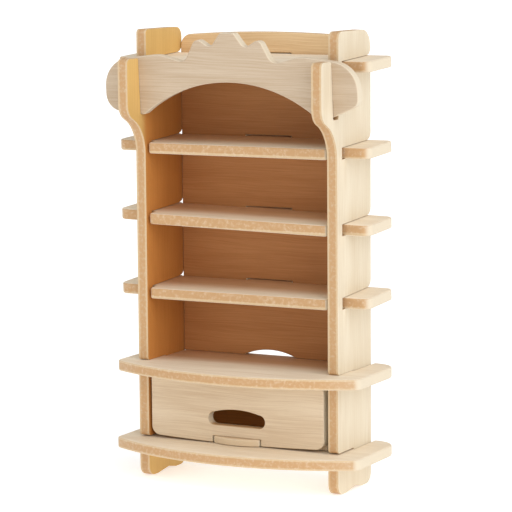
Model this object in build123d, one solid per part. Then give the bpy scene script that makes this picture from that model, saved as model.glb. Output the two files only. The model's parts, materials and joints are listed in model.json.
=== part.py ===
"""Miniature bookcase for a dolls house, slotted together from flat boards of 3 mm plywood.

Frame: millimetres, +Z up, the front faces -Y, the origin is under the middle of the whole
bookcase at floor level. Inside this file x is first measured from the middle between the
sides and y from the front edge of the sides, rear positive. Every board is moved to the
origin when it is written. The boards are put together by hand: the shelves, the crown and
the drawer sit a little to the left, the two bow-fronted boards a little to the right, and
the shelves rise a little to the rear.
"""
import os
from math import atan2, degrees, sqrt

from build123d import *

# ---- board stock and fits -------------------------------------------------------------
ply = 3.0                # thickness of every board but the drawer bottom
thin_ply = 2.0           # thickness of the drawer bottom
slot_play = 0.1          # gap on each side of a board in its slot
slot_headroom = 0.15     # gap over a shelf in the slot of a side
shelf_seat = 0.03        # gap under it, as its drop from left to right needs
slack = 1.0              # cutters run past the edge they open by this much

# ---- sides ----------------------------------------------------------------------------
inner_width = 55.4       # between the two sides
side_depth = 21.0
side_height = 124.5
toe_radius = 3.0         # front bottom corner of a side
toe_end = 5.0            # the flat toe ends here, and the underside rises a little
instep_y = 11.0          # highest place of the underside
instep_rise = 0.8
heel_start = 15.0        # the flat heel starts here
underside_radius = 2.0   # rounding where the underside turns
heel_radius = 3.2        # rear bottom corner
post_radius = {1: 2.2, -1: 1.2}      # front top corner, right and left
shoulder_radius = {1: 5.0, -1: 2.8}  # rear top corner, right and left
horn_reach = 9.4         # how far the horns stand in front of the sides
horn_top = 116.8
horn_corner = 1.5
neck_start = 90.6        # where the front edge starts to sweep forward into the horn
neck_radius = 10.5       # hollow part of the sweep
chin_radius = 4.5        # round part of the sweep, under the horn
crown_slot_front = -3.4  # at its mouth
crown_slot_toe = -2.4    # front of its floor
crown_slot_rear = 0.9
crown_slot_floor = 101.4
slot_corner = 0.6        # rounding in the corners of the crown's slot

# ---- level boards, each given by the height of its underside --------------------------
base_z = 8.15
base_headroom = 0.35     # the base board lies loose in its slots
wide_z = 29.8
wide_headroom = 0.06
shelf_z = {"shelf_3": 50.3, "shelf_2": 70.6, "shelf_1": 90.6, "shelf_top": 113.5}
shelf_drop = {"shelf_3": 0.0, "shelf_2": 0.5, "shelf_1": 0.0, "shelf_top": 0.0}
#                          a shelf's right slot is cut lower by its drop, its left slot higher
shelf_rise = 1.0         # the shelf slots run upwards to the rear edge of the sides
shelf_slot_front = 3.0   # closed end of the shelf slots
shelf_front = 0.5        # the shelves stand this far behind the front edge of the sides
shelf_rear = 19.8
shelf_half_width = 27.1  # between the sides
shelf_corner = 0.8
tab_x = -0.7             # middle between the ends of the tabs that pass through the sides
tab_half_width = 38.5
tab_front = 4.6
tab_rear = 20.8
tab_front_radius = 2.5
tab_rear_radius = 2.2
rear_mouth_radius = 2.0  # rounding of the mouths of the shelf slots
front_mouth_radius = 1.0  # the same for the slots of the bow-fronted boards
tongue_width = 14.0      # tongue of a shelf that passes through the back panel
tongue_play = 0.15       # gap over and under a tongue

bow_x = 0.9              # middle of the two bow-fronted boards
bow_half_width = 37.2
bow_rear = 23.1
bow_radius = 76.0        # curve of their front edges
wide_reach = 12.1        # how far the middle of the wide shelf stands out
base_reach = 13.0        # the same for the base board
bow_front_corner = 2.5
bow_rear_corner = 6.0
lap_depth = 9.8          # sides and bow-fronted boards lap each other at this depth

# ---- back panel -----------------------------------------------------------------------
panel_front = 20.0
panel_half_width = 27.5
panel_top = 123.4
panel_top_sag = 1.1      # the top edge is this much lower at its ends
panel_corner = 3.3
panel_arch_half = 8.2    # finger arch in the bottom edge
panel_arch_rise = 1.8

# ---- crown board, heights along the board from the floor ------------------------------
crown_x = -0.3
crown_lean = 4.2         # degrees; the loose crown leans forward in its slots
crown_arch_top = 110.9
crown_arch_half = 26.4
crown_arch_foot = 101.6
crown_foot_radius = 0.9
crown_top_outline = [    # right half of the top edge: across, height, corner radius
    (2.1, 124.2, 0.8),   # flat peak
    (5.2, 120.1, 1.5),   # valley
    (9.6, 122.9, 1.7),   # side bump
    (13.3, 116.0, 2.6),  # valley
    (21.3, 118.15, 12.0),  # low hump
    (38.3, 116.2, 8.0),  # shoulder of the ear
]
left_ear_low = [(-38.3, 102.7, 4.8)]
right_ear_low = [(38.3, 105.6, 2.5), (31.0, 102.4, 1.0)]

# ---- drawer ---------------------------------------------------------------------------
drawer_x = -0.35
drawer_half_width = 26.6
drawer_face_y = 0.3      # the drawer front stands this far behind the front of the sides
drawer_lift = 0.1        # running gap under the drawer
drawer_top = 29.4
drawer_front_lift = 0.25  # the front hangs this far above the base board
drawer_front_sag = 0.7   # its lower edge is bowed down by this much in the middle
drawer_top_radius = 1.8
drawer_bottom_radius = 2.6
drawer_box_rear = 19.3
drawer_box_half = 26.2
drawer_box_top = 26.6
hole_half_width = 8.75
hole_bottom = 16.3
hole_shoulder = 20.0     # top of the round ends
hole_crown = 20.95       # top of the domed middle
notch_half = 7.5
notch_headroom = 0.02
tongue_half = 7.1
tongue_bulge = 1.7       # the tongue's round nose stands proud of the drawer front

inner_half = inner_width / 2
outer_half = inner_half + ply
base_top = base_z + ply
wide_top = wide_z + ply
shelf_pitch = degrees(atan2(shelf_rise, side_depth - shelf_slot_front))
left_end = tab_x - tab_half_width
right_end = bow_x + bow_half_width
origin = Vector((left_end + right_end) / 2, (bow_rear - base_reach) / 2, 0)


def side_board(outline, x):
    """A board that stands along the depth: outline in (y, z), lower face at x."""
    return extrude(Plane.YZ.offset(x) * outline, ply)


def level_board(outline, z, thickness=ply):
    """A level board: outline in (x, y), underside at z."""
    return extrude(Plane.XY.offset(z) * outline, thickness)


def front_board(outline, front_y):
    """A board that faces the front: outline in (x, z), front face at front_y."""
    return extrude(Plane.XZ.offset(-front_y - ply) * outline, ply)


def box_outline(x_low, y_low, x_high, y_high):
    """A plain rectangle between two corners."""
    return Pos((x_low + x_high) / 2, (y_low + y_high) / 2) * Rectangle(x_high - x_low, y_high - y_low)


def mouthed_slot(end, mouth, low, high, radius, rise=0.0):
    """A slot from its closed end to an edge of the side, with a rounded, flared mouth.

    low and high are its heights at the closed end; at the mouth it is higher by rise.
    """
    slot = make_face(Polyline((end, low), (mouth, low + rise), (mouth, high + rise), (end, high),
                              close=True))
    flare_y = mouth - radius if mouth > end else mouth + radius
    flare_low = low + rise - radius
    flare_high = high + rise + radius
    flare = box_outline(min(flare_y, mouth), flare_low, max(flare_y, mouth), flare_high)
    flare -= Pos(flare_y, flare_high) * Circle(radius)
    flare -= Pos(flare_y, flare_low) * Circle(radius)
    return slot + flare


def side_outline(hand):
    """Outline of a side in (y, z), with its slots; hand is 1 on the right and -1 on the left."""
    centres_apart = neck_radius + chin_radius
    sweep_rise = sqrt(centres_apart**2 - (centres_apart - horn_reach)**2)
    chin_z = neck_start + sweep_rise
    neck_centre = Vector(-neck_radius, neck_start)
    chin_centre = Vector(chin_radius - horn_reach, chin_z)
    meeting = neck_centre + (chin_centre - neck_centre) * (neck_radius / centres_apart)
    blank = FilletPolyline(
        (0, neck_start), (0, 0), (toe_end, 0), (instep_y, instep_rise), (heel_start, 0),
        (side_depth, 0), (side_depth, side_height),
        (crown_slot_rear, side_height), (crown_slot_rear, crown_slot_floor),
        (crown_slot_toe, crown_slot_floor), (crown_slot_front, horn_top),
        (-horn_reach, horn_top), (-horn_reach, chin_z),
        radius=[toe_radius, underside_radius, underside_radius, underside_radius, heel_radius,
                shoulder_radius[hand], post_radius[hand], slot_corner, slot_corner, slot_corner,
                horn_corner],
    )
    chin = JernArc((-horn_reach, chin_z), (0, -1), chin_radius,
                   Vector(-1, 0).get_angle(meeting - chin_centre))
    neck = ThreePointArc(meeting, neck_centre + Vector(neck_radius, 0).rotate(
        Axis.Z, Vector(1, 0).get_angle(meeting - neck_centre) / 2), (0, neck_start))
    outline = make_face(blank + chin + neck)
    for name, z in shelf_z.items():
        low = z - hand * shelf_drop[name]
        outline -= mouthed_slot(shelf_slot_front, side_depth, low - shelf_seat,
                                low + ply + slot_headroom, rear_mouth_radius, shelf_rise)
    for z, headroom in ((base_z, base_headroom), (wide_z, wide_headroom)):
        outline -= mouthed_slot(lap_depth, 0, z, z + ply + headroom, front_mouth_radius)
    return outline


def shelf_outline():
    """A T-shaped shelf: body between the sides, tabs through them, tongue to the rear."""
    tabs = box_outline(tab_x - tab_half_width, tab_front, tab_x + tab_half_width, tab_rear)
    tabs = fillet(tabs.vertices().group_by(Axis.Y)[0], tab_front_radius)
    tabs = fillet(tabs.vertices().group_by(Axis.Y)[-1], tab_rear_radius)
    tabs -= box_outline(-inner_half, shelf_rear, inner_half, tab_rear + slack)
    body = box_outline(-shelf_half_width, shelf_front, shelf_half_width, shelf_rear)
    body = fillet(body.vertices().group_by(Axis.Y)[0], shelf_corner)
    tongue = box_outline(-tongue_width / 2, shelf_rear, tongue_width / 2, panel_front + ply)
    return body + tabs + tongue


def shelf(name):
    """One shelf as its slots hold it: rising to the rear, and dropping to the right if they do."""
    board = level_board(shelf_outline(), shelf_z[name])
    slot_end = (0, shelf_slot_front, shelf_z[name])
    board = board.rotate(Axis(slot_end, (1, 0, 0)), shelf_pitch)
    return board.rotate(Axis(slot_end, (0, 1, 0)), degrees(atan2(shelf_drop[name], inner_half + ply / 2)))


def bow_outline(reach):
    """A bow-fronted board, slotted from the rear where the sides lap it."""
    front = Pos(bow_x, bow_radius - reach) * Circle(bow_radius)
    board = front & box_outline(bow_x - bow_half_width, -reach - slack, bow_x + bow_half_width, bow_rear)
    board = fillet(board.vertices().group_by(Axis.Y)[-1], bow_rear_corner)
    ends = board.vertices().sort_by(lambda corner: abs(corner.X - bow_x) - corner.Y)[-2:]
    board = fillet(ends, bow_front_corner)
    for hand in (-1, 1):
        middle = hand * (inner_half + ply / 2)
        board -= box_outline(middle - ply / 2 - slot_play, lap_depth - slot_play,
                             middle + ply / 2 + slot_play, bow_rear + slack)
    return board


def panel_outline():
    """The back panel: low arched top, finger arch below, slots for the shelf tongues."""
    shoulder_z = panel_top - panel_top_sag
    top = ThreePointArc((panel_half_width, shoulder_z), (0, panel_top), (-panel_half_width, shoulder_z))
    frame = Polyline((-panel_half_width, shoulder_z), (-panel_half_width, wide_top),
                     (panel_half_width, wide_top), (panel_half_width, shoulder_z))
    panel = make_face(top + frame)
    panel = fillet(panel.vertices().group_by(Axis.Y)[-1], panel_corner)
    arch = ThreePointArc((-panel_arch_half, wide_top), (0, wide_top + panel_arch_rise),
                         (panel_arch_half, wide_top))
    panel -= make_face(arch + Line(arch @ 1, arch @ 0))
    panel_middle = panel_front + ply / 2
    rise = shelf_rise * (panel_middle - shelf_slot_front) / (side_depth - shelf_slot_front)
    for z in shelf_z.values():
        panel -= box_outline(-tongue_width / 2 - slot_play, z + rise - tongue_play,
                             tongue_width / 2 + slot_play, z + rise + ply + tongue_play)
    return panel


def crown_outline():
    """The crown board: peak, bumps, humps and ears along the top, an arch below."""
    left_half = [(-x, z, radius) for x, z, radius in reversed(crown_top_outline)]
    corners = [*left_ear_low, *left_half, *crown_top_outline, *right_ear_low]
    foot_left = (-crown_arch_half, crown_arch_foot)
    foot_right = (crown_arch_half, crown_arch_foot)
    top = FilletPolyline(foot_left, *[(x, z) for x, z, _ in corners], foot_right,
                         radius=[radius for _, _, radius in corners])
    arch = ThreePointArc(foot_right, (0, crown_arch_top), foot_left)
    board = make_face(top + arch)
    return fillet(board.vertices().group_by(Axis.Y)[0], crown_foot_radius)


def crown():
    """The crown board, leaning forward about its lower rear arris in the slots."""
    rear_y = crown_slot_rear - slot_play
    board = front_board(Pos(crown_x, 0) * crown_outline(), rear_y - ply)
    foot = Axis((0, rear_y, crown_slot_floor), (1, 0, 0))
    return board.rotate(foot, crown_lean)


def finger_hole():
    """A flat-bottomed capsule with a domed top."""
    end_radius = (hole_shoulder - hole_bottom) / 2
    flat_half = hole_half_width - end_radius
    middle_z = hole_bottom + end_radius
    bottom = Line((-flat_half, hole_bottom), (flat_half, hole_bottom))
    right = ThreePointArc((flat_half, hole_bottom), (hole_half_width, middle_z), (flat_half, hole_shoulder))
    dome = ThreePointArc((flat_half, hole_shoulder), (0, hole_crown), (-flat_half, hole_shoulder))
    left = ThreePointArc((-flat_half, hole_shoulder), (-hole_half_width, middle_z),
                         (-flat_half, hole_bottom))
    return make_face(bottom + right + dome + left)


def drawer_front():
    """The drawer front, with its finger hole and the notch for the bottom's tongue."""
    low = base_top + drawer_front_lift
    corner_z = low + drawer_front_sag
    lower_edge = ThreePointArc((-drawer_half_width, corner_z), (0, low), (drawer_half_width, corner_z))
    frame = Polyline((drawer_half_width, corner_z), (drawer_half_width, drawer_top),
                     (-drawer_half_width, drawer_top), (-drawer_half_width, corner_z))
    face = make_face(lower_edge + frame)
    face = fillet(face.vertices().group_by(Axis.Y)[-1], drawer_top_radius)
    face = fillet(face.vertices().group_by(Axis.Y)[0], drawer_bottom_radius)
    notch_top = base_top + drawer_lift + thin_ply + notch_headroom
    face -= box_outline(-notch_half, base_top, notch_half, notch_top)
    face -= finger_hole()
    return front_board(face, drawer_face_y)


def drawer_bottom():
    """The drawer bottom, with the round-nosed tongue that shows in the front's notch."""
    front_rear = drawer_face_y + ply
    plate = box_outline(-drawer_box_half, front_rear, drawer_box_half, drawer_box_rear)
    nose = ThreePointArc((-tongue_half, drawer_face_y), (0, drawer_face_y - tongue_bulge),
                         (tongue_half, drawer_face_y))
    root = Polyline((tongue_half, drawer_face_y), (tongue_half, front_rear),
                    (-tongue_half, front_rear), (-tongue_half, drawer_face_y))
    return level_board(plate + make_face(nose + root), base_top + drawer_lift, thin_ply)


def drawer():
    """The drawer: its front, its bottom, and the sides and back that stand on the bottom."""
    floor_z = base_top + drawer_lift + thin_ply
    side = box_outline(drawer_face_y + ply, floor_z, drawer_box_rear, drawer_box_top)
    back_half = drawer_box_half - ply
    back = box_outline(-back_half, floor_z, back_half, drawer_box_top)
    boards = {
        "drawer_front": drawer_front(),
        "drawer_bottom": drawer_bottom(),
        "drawer_side_left": side_board(side, -drawer_box_half),
        "drawer_side_right": side_board(side, drawer_box_half - ply),
        "drawer_back": front_board(back, drawer_box_rear - ply),
    }
    return {name: Pos(drawer_x, 0, 0) * board for name, board in boards.items()}


def bookcase():
    """Every board of the bookcase by name."""
    boards = {
        "side_left": side_board(side_outline(-1), -outer_half),
        "side_right": side_board(side_outline(1), inner_half),
        "crown_board": crown(),
    }
    for name in shelf_z:
        boards[name] = shelf(name)
    boards["shelf_wide"] = level_board(bow_outline(wide_reach), wide_z)
    boards["base_board"] = level_board(bow_outline(base_reach), base_z)
    boards["back_panel"] = front_board(panel_outline(), panel_front)
    boards.update(drawer())
    return boards


os.makedirs("parts", exist_ok=True)
for name, board in bookcase().items():
    export_step(Pos(*-origin) * board, f"parts/{name}.step")
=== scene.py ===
"""Looks of the miniature bookcase: sanded plywood boards, a pale floor and soft studio light."""

import json
from math import cos, radians, sin

import bmesh
import bpy
from mathutils import Matrix, Vector


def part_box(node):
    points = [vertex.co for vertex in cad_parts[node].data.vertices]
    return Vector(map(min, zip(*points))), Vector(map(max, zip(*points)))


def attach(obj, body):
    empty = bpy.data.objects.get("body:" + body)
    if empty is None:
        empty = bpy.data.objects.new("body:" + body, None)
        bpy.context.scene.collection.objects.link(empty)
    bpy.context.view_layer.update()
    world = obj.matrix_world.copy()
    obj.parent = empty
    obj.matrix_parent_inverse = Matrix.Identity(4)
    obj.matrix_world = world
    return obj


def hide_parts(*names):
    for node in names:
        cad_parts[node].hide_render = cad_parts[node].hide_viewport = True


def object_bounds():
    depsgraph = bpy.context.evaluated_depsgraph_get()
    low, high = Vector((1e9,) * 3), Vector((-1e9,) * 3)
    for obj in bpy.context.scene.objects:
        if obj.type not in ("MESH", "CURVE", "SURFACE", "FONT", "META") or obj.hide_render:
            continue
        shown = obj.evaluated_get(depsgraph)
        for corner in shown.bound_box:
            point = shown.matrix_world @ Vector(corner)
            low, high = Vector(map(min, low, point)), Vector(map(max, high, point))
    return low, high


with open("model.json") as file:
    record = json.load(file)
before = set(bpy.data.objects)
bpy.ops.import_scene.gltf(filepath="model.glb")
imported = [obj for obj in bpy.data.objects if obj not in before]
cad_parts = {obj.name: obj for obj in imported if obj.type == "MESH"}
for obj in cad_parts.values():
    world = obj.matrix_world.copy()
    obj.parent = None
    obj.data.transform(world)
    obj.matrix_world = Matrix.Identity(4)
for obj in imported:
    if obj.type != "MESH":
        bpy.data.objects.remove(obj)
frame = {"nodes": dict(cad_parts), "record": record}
cad_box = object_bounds()
record = frame["record"]
body_of = {node: body for body, nodes in record["behaviour"]["bodies"].items() for node in nodes}
slot_of = {part["node"]: part["material_slot"] for part in record["subparts"]}

mm = 0.001
X, Y, Z = range(3)

# ---- camera -----------------------------------------------------------------------------
view_azimuth = 27.49     # degrees, 0 looks along +Y
view_elevation = 7.38
view_roll = -0.43
view_distance = 686.5 * mm
view_aim = Vector((4.2, 0, 0.88)) * mm   # from the middle of the CAD box
view_lens = 177.2        # mm on a 36 mm sensor

# ---- light ------------------------------------------------------------------------------
sky_strength = 0.53
sun_from = Vector((0.80, -0.42, 0.62))
sun_strength = 1.85
fill_from = Vector((-0.75, -0.45, 0.45))
fill_strength = 0.4
lamp_spread = radians(70)
floor_radius = 15.0      # metres, so that the floor reaches the top of the picture
floor_glow = 0.45        # the floor is a lit table, which keeps shadows faint

# ---- sanding ----------------------------------------------------------------------------
arris = 0.42 * mm        # rounding of every edge
arris_steps = 3
sharp_angle = radians(30)

# ---- grain of the faces: repeats per mm along the grain and across it --------------------
wander_repeats = (0.03, 0.12)
tone_repeats = (0.03, 0.22)
line_repeats = (0.05, 3.0)
pore_repeats = (0.55, 5.5)
wander_reach = 3.0       # mm by which the grain lines wander sideways
tone_weight = 0.45
line_weight = 0.75
grain_contrast = (0.40, 0.80)
pore_contrast = (0.60, 0.72)
pore_darkness = 0.30

# ---- plies of the edges -----------------------------------------------------------------
veneer_share = 0.62      # the outer veneers start this far from the middle, as a share
veneer_blur = 0.05
streak_repeats = 1.2     # per mm
streak_shift = 0.16      # how unevenly the streaks make the plies meet
streak_contrast = (0.45, 0.75)
streak_darkness = 0.45

# ---- surface ----------------------------------------------------------------------------
face_turn = (0.55, 0.9)  # how squarely a surface has to face outwards to count as a veneer
inside_turn = (0.5, 0.9)  # the same for a face that looks to the middle of the bookcase, which takes painted light and shade
sideways_highlight_turn = (0.3, 0.9)    # the same for an edge that faces sideways, which gets a painted highlight
line_height = 0.6
pore_height = -0.5
bump_strength = 0.35
bump_distance = 0.05 * mm
smoothest = 0.52         # roughness where the grain lines are low
roughness_range = 0.14
specular_level = 0.3


def sharp_edges(bm):
    """The edges where two faces of a board meet at an angle."""
    return [e for e in bm.edges if e.is_manifold and e.calc_face_angle() > sharp_angle]


def sanded(node):
    """A copy of a CAD board with every arris rounded."""
    bm = bmesh.new()
    bm.from_mesh(frame["nodes"][node].data)
    bmesh.ops.remove_doubles(bm, verts=bm.verts, dist=0.001 * mm)
    bmesh.ops.dissolve_limit(bm, angle_limit=radians(0.5), verts=bm.verts, edges=bm.edges)
    bmesh.ops.bevel(bm, geom=sharp_edges(bm), offset=arris, offset_type="OFFSET",
                    segments=arris_steps, profile=0.5, affect="EDGES", clamp_overlap=True)
    mesh = bpy.data.meshes.new(node + "_wood")
    bm.to_mesh(mesh)
    bm.free()
    mesh.shade_smooth()
    piece = bpy.data.objects.new(node + "_wood", mesh)
    bpy.context.scene.collection.objects.link(piece)
    weighted = piece.modifiers.new("even_shading", "WEIGHTED_NORMAL")
    weighted.keep_sharp = False
    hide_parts(node)
    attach(piece, body_of[node])
    return piece


class Nodes:
    """Short calls that add nodes to one material."""

    def __init__(self, name):
        self.material = bpy.data.materials.new(name)
        self.material.use_nodes = True
        self.tree = self.material.node_tree
        self.tree.nodes.clear()

    def add(self, kind, inputs=None, **settings):
        """A node of a kind, its settings made and its inputs set or linked."""
        made = self.tree.nodes.new(kind)
        for name, value in settings.items():
            setattr(made, name, value)
        for name, value in (inputs or {}).items():
            socket = made.inputs[name]
            if isinstance(value, bpy.types.NodeSocket):
                self.tree.links.new(value, socket)
            else:
                socket.default_value = value
        return made

    def maths(self, operation, *values, clamp=False):
        """One maths node: its result."""
        inputs = dict(enumerate(values))
        return self.add("ShaderNodeMath", inputs, operation=operation, use_clamp=clamp).outputs[0]

    def ramp(self, value, low, high, smooth=True):
        """0 below low, 1 above high, and a smooth step between."""
        kind = "SMOOTHSTEP" if smooth else "LINEAR"
        inputs = {"Value": value, "From Min": low, "From Max": high}
        return self.add("ShaderNodeMapRange", inputs, interpolation_type=kind).outputs[0]

    def vector(self, x, y, z):
        """Three numbers or sockets as one vector."""
        return self.add("ShaderNodeCombineXYZ", {"X": x, "Y": y, "Z": z}).outputs[0]

    def noise(self, vector, scale=1.0, detail=2.0, rough=0.5, distortion=0.0):
        """Smooth noise between 0 and 1 about one half."""
        inputs = {"Vector": vector, "Scale": scale, "Detail": detail, "Roughness": rough,
                  "Distortion": distortion}
        return self.add("ShaderNodeTexNoise", inputs).outputs[0]

    def mix(self, share, first, second, blend="MIX"):
        """Two colours mixed."""
        made = self.add("ShaderNodeMix", data_type="RGBA", blend_type=blend)
        for socket, value in ((made.inputs[0], share), (made.inputs[6], first), (made.inputs[7], second)):
            if isinstance(value, bpy.types.NodeSocket):
                self.tree.links.new(value, socket)
            else:
                socket.default_value = value
        return made.outputs[2]


def colour(red, green, blue):
    """A display colour, 0 to 255, as the linear colour a shader takes."""
    linear = [((c / 255 + 0.055) / 1.055) ** 2.4 if c > 10 else c / 255 / 12.92
              for c in (red, green, blue)]
    return (*linear, 1)


def grain_noise(n, along, aside, repeats, seed, **settings):
    """Noise drawn out along the grain."""
    place = n.vector(n.maths("MULTIPLY", along, repeats[0]), n.maths("MULTIPLY", aside, repeats[1]), seed)
    return n.noise(place, **settings)


def bay_share(n, axes, shade):
    """Where painted shade goes: 1 inside the bays, 0 outside, set in from shade[0] to shade[1] mm behind the
    shelf fronts.
    """
    below = n.ramp(axes[Z], bays_top + 1, bays_top - 1)
    above = n.ramp(axes[Z], bays_bottom, bays_bottom + 1)
    behind = n.ramp(axes[Y], bays_front + shade[0], bays_front + shade[1])
    sideways = n.maths("ABSOLUTE", n.maths("SUBTRACT", axes[X], bays_middle))
    between = n.ramp(sideways, bays_half_width + 1, bays_half_width)
    share = below
    for limit in (above, behind, between):
        share = n.maths("MULTIPLY", share, limit)
    return share


def ply_edge(n, axes, from_middle, across_x, core, veneer, sideways_highlight, dark):
    """Colour of an edge: pale outer veneers over a darker core, streaks through both, and a painted highlight
    where the edge faces sideways.

    from_middle is 0 in the middle of the board's thickness and 1 at its faces.
    """
    streak = n.noise(n.vector(*[n.maths("MULTIPLY", axis, streak_repeats) for axis in axes[:3]]),
                     detail=3.0, rough=0.65)
    uneven = n.maths("MULTIPLY", n.maths("SUBTRACT", streak, 0.5), streak_shift)
    share = n.maths("ADD", from_middle, uneven)
    outer = n.ramp(share, veneer_share - veneer_blur, veneer_share + veneer_blur)
    edge = n.mix(outer, core, veneer)
    edge = n.mix(n.maths("MULTIPLY", n.ramp(streak, *streak_contrast), streak_darkness), edge, dark)
    # an edge that faces sideways takes a painted highlight, as if lit from the side
    return n.mix(n.ramp(n.maths("ABSOLUTE", across_x), *sideways_highlight_turn), edge, sideways_highlight)


def plywood(node, thickness, grain, light, dark, core, veneer, sideways_highlight,
            inward=0, painted_warm_light=None, painted_bay_shade=None, shade=(-3, 1)):
    """Three-ply wood: grain on the faces, veneers and a core on the edges.

    thickness and grain are axes, 0 to 2; light and dark are the face colours, core and veneer
    those of the edges, and sideways_highlight that of the edges that face sideways, a painted
    highlight as if lit from the side. inward is 1 or -1, the side that faces the middle of the
    bookcase: painted_warm_light tints it with painted warm light, and painted_bay_shade tints its
    part in the bays with painted shade, from shade[0] to shade[1] millimetres behind the shelves'
    front edges.
    """
    n = Nodes(node + "_plywood")
    low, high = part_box(node)
    middle = (low + high) / 2 / mm
    half = (high - low)[thickness] / 2 / mm
    across = X + Y + Z - thickness - grain
    seed = 10.0 * sorted(slot_of).index(node)

    place = n.add("ShaderNodeTexCoord").outputs["Object"]
    place = n.add("ShaderNodeVectorMath", {"Vector": place, "Scale": 1 / mm}, operation="SCALE").outputs[0]
    axes = n.add("ShaderNodeSeparateXYZ", {0: place}).outputs
    along = axes[grain]
    aside = axes[across]
    from_middle = n.maths("ABSOLUTE", n.maths("SUBTRACT", axes[thickness], middle[thickness]))
    from_middle = n.maths("DIVIDE", from_middle, half)
    normal = n.add("ShaderNodeNewGeometry").outputs["Normal"]
    facing = n.add("ShaderNodeSeparateXYZ", {0: normal}).outputs

    # the face of the veneer: slow changes of tone, long grain lines and short pores
    wander = grain_noise(n, along, aside, wander_repeats, seed, detail=1.0)
    wandered = n.maths("ADD", aside, n.maths("MULTIPLY", wander, wander_reach))
    tone = grain_noise(n, along, wandered, tone_repeats, seed, detail=3.0)
    lines = grain_noise(n, along, wandered, line_repeats, seed, detail=4.0, rough=0.65)
    pores = grain_noise(n, along, wandered, pore_repeats, seed, detail=1.0)
    pores = n.ramp(pores, *pore_contrast)
    grainy = n.maths("ADD", n.maths("MULTIPLY", tone, tone_weight), n.maths("MULTIPLY", lines, line_weight))
    face = n.mix(n.ramp(grainy, *grain_contrast), light, dark)
    face = n.mix(n.maths("MULTIPLY", pores, pore_darkness), face, dark)
    # painted warm light on the face that looks inwards, and painted shade on its part in the bays
    if inward:
        inside = n.ramp(n.maths("MULTIPLY", facing[thickness], inward), *inside_turn)
        face = n.mix(inside, face, painted_warm_light, blend="MULTIPLY")
        bay_shade_share = n.maths("MULTIPLY", inside, bay_share(n, axes, shade))
        face = n.mix(bay_shade_share, face, painted_bay_shade, blend="MULTIPLY")

    edge = ply_edge(n, axes, from_middle, facing[X], core, veneer, sideways_highlight, dark)
    on_face = n.ramp(n.maths("ABSOLUTE", facing[thickness]), *face_turn)
    height = n.maths("ADD", n.maths("MULTIPLY", lines, line_height), n.maths("MULTIPLY", pores, pore_height))
    bump = n.add("ShaderNodeBump", {"Height": height, "Strength": bump_strength, "Distance": bump_distance})
    rough = n.maths("MULTIPLY", n.ramp(lines, 0.2, 0.8, smooth=False), roughness_range)
    shader = n.add("ShaderNodeBsdfPrincipled", {
        "Base Color": n.mix(on_face, edge, face), "Roughness": n.maths("ADD", rough, smoothest),
        "Normal": bump.outputs[0], "Specular IOR Level": specular_level})
    n.add("ShaderNodeOutputMaterial", {"Surface": shader.outputs[0]})
    return n.material


# the bays, in mm in the frame of the whole bookcase
bays_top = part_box("shelf_top")[0].z / mm
bays_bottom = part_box("base_board")[0].z / mm
bays_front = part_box("shelf_1")[0].y / mm
bays_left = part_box("side_left")[1].x / mm
bays_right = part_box("side_right")[0].x / mm
bays_middle = (bays_left + bays_right) / 2
bays_half_width = (bays_right - bays_left) / 2

# the warm colours are painted light, standing for the deep golden light that the pale wood gathers inside;
# the bay colours are painted shade, browner inside the bays
white = colour(255, 255, 255)
# the sideways colour of the edges is a painted highlight, as if lit from the side
edges = dict(core=colour(198, 157, 112), veneer=colour(213, 185, 146), sideways_highlight=colour(220, 206, 182))
side = dict(light=colour(227, 215, 192), dark=colour(215, 199, 172), **edges)
left_side = dict(side, inward=1, painted_warm_light=colour(246, 214, 150), painted_bay_shade=colour(230, 188, 158))
front = dict(light=colour(225, 206, 178), dark=colour(206, 181, 150), **edges)
crown = dict(front, light=colour(208, 189, 165), dark=colour(190, 166, 138),
             core=colour(218, 200, 174), veneer=colour(226, 210, 186))
level = dict(light=colour(243, 230, 209), dark=colour(226, 207, 180), **edges)
shelf = dict(level, inward=1, painted_warm_light=white, painted_bay_shade=colour(220, 188, 162), shade=(1, 12))
panel = dict(light=colour(238, 208, 164), dark=colour(216, 180, 134), **edges,
             inward=-1, painted_warm_light=white, painted_bay_shade=colour(208, 168, 134))
drawer_wall = dict(front, inward=-1, painted_warm_light=colour(252, 186, 116), painted_bay_shade=white)
drawer_left_wall = dict(drawer_wall, inward=1)
tongue = dict(front, core=colour(216, 194, 162), veneer=colour(222, 202, 172))
boards = {               # the axis of the thickness, that of the grain, and the colours
    "side_left": (X, Z, left_side),
    "side_right": (X, Z, side),
    "crown_board": (Y, X, crown),
    "shelf_top": (Z, X, shelf),
    "shelf_1": (Z, X, shelf),
    "shelf_2": (Z, X, shelf),
    "shelf_3": (Z, X, shelf),
    "shelf_wide": (Z, X, shelf),
    "base_board": (Z, X, level),
    "back_panel": (Y, X, panel),
    "drawer_front": (Y, X, front),
    "drawer_bottom": (Z, X, tongue),
    "drawer_side_left": (X, Y, drawer_left_wall),
    "drawer_side_right": (X, Y, drawer_wall),
    "drawer_back": (Y, X, drawer_wall),
}
for node, (thickness, grain, colours) in boards.items():
    piece = sanded(node)
    piece.data.materials.clear()
    piece.data.materials.append(plywood(node, thickness, grain, **colours))


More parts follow.
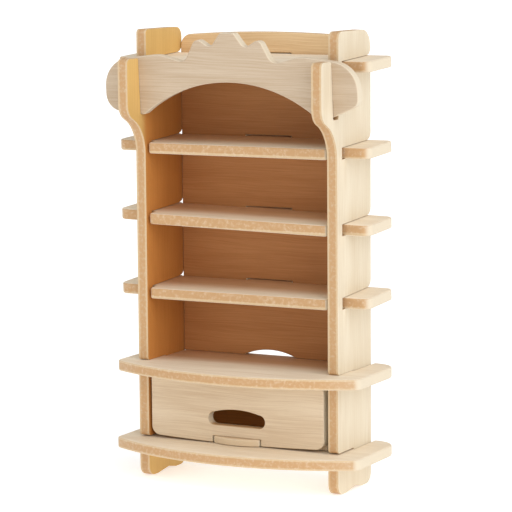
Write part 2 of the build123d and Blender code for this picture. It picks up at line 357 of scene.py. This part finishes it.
def add_camera():
    """The camera, aimed from a distance at a place near the middle of the bookcase."""
    azimuth, elevation = radians(view_azimuth), radians(view_elevation)
    back = Vector((sin(azimuth) * cos(elevation), -cos(azimuth) * cos(elevation), sin(elevation)))
    camera = bpy.data.objects.new("camera", bpy.data.cameras.new("camera"))
    camera.data.lens = view_lens
    camera.data.sensor_width = 36
    camera.data.clip_start = 0.01
    turn = (-back).to_track_quat("-Z", "Y").to_matrix().to_4x4() @ Matrix.Rotation(radians(view_roll), 4, "Z")
    camera.matrix_world = Matrix.Translation((cad_box[0] + cad_box[1]) / 2 + view_aim
                                             + back * view_distance) @ turn
    bpy.context.scene.collection.objects.link(camera)
    bpy.context.scene.camera = camera


def add_lamp(name, direction, strength):
    """A broad soft lamp that shines from a direction."""
    light = bpy.data.lights.new(name, "SUN")
    light.energy = strength
    light.angle = lamp_spread
    lamp = bpy.data.objects.new(name, light)
    lamp.matrix_world = (-direction).to_track_quat("-Z", "Y").to_matrix().to_4x4()
    bpy.context.scene.collection.objects.link(lamp)


def add_floor():
    """A wide pale floor just under the feet."""
    bm = bmesh.new()
    bmesh.ops.create_circle(bm, cap_ends=True, segments=64, radius=floor_radius)
    mesh = bpy.data.meshes.new("floor")
    bm.to_mesh(mesh)
    bm.free()
    floor = bpy.data.objects.new("floor", mesh)
    floor.location.z = -0.05 * mm
    n = Nodes("floor_white")
    shader = n.add("ShaderNodeBsdfPrincipled", {
        "Base Color": (0.85, 0.85, 0.85, 1), "Roughness": 0.8, "Specular IOR Level": 0.0,
        "Emission Color": (1, 1, 1, 1), "Emission Strength": floor_glow})
    n.add("ShaderNodeOutputMaterial", {"Surface": shader.outputs[0]})
    mesh.materials.append(n.material)
    bpy.context.scene.collection.objects.link(floor)


def add_world():
    """Even white light from all round."""
    world = bpy.data.worlds.new("studio")
    world.use_nodes = True
    world.node_tree.nodes["Background"].inputs["Color"].default_value = (1, 1, 1, 1)
    world.node_tree.nodes["Background"].inputs["Strength"].default_value = sky_strength
    bpy.context.scene.world = world


add_camera()
add_floor()
add_lamp("sun", sun_from, sun_strength)
add_lamp("fill", fill_from, fill_strength)
add_world()
bpy.context.scene.view_settings.view_transform = "Standard"
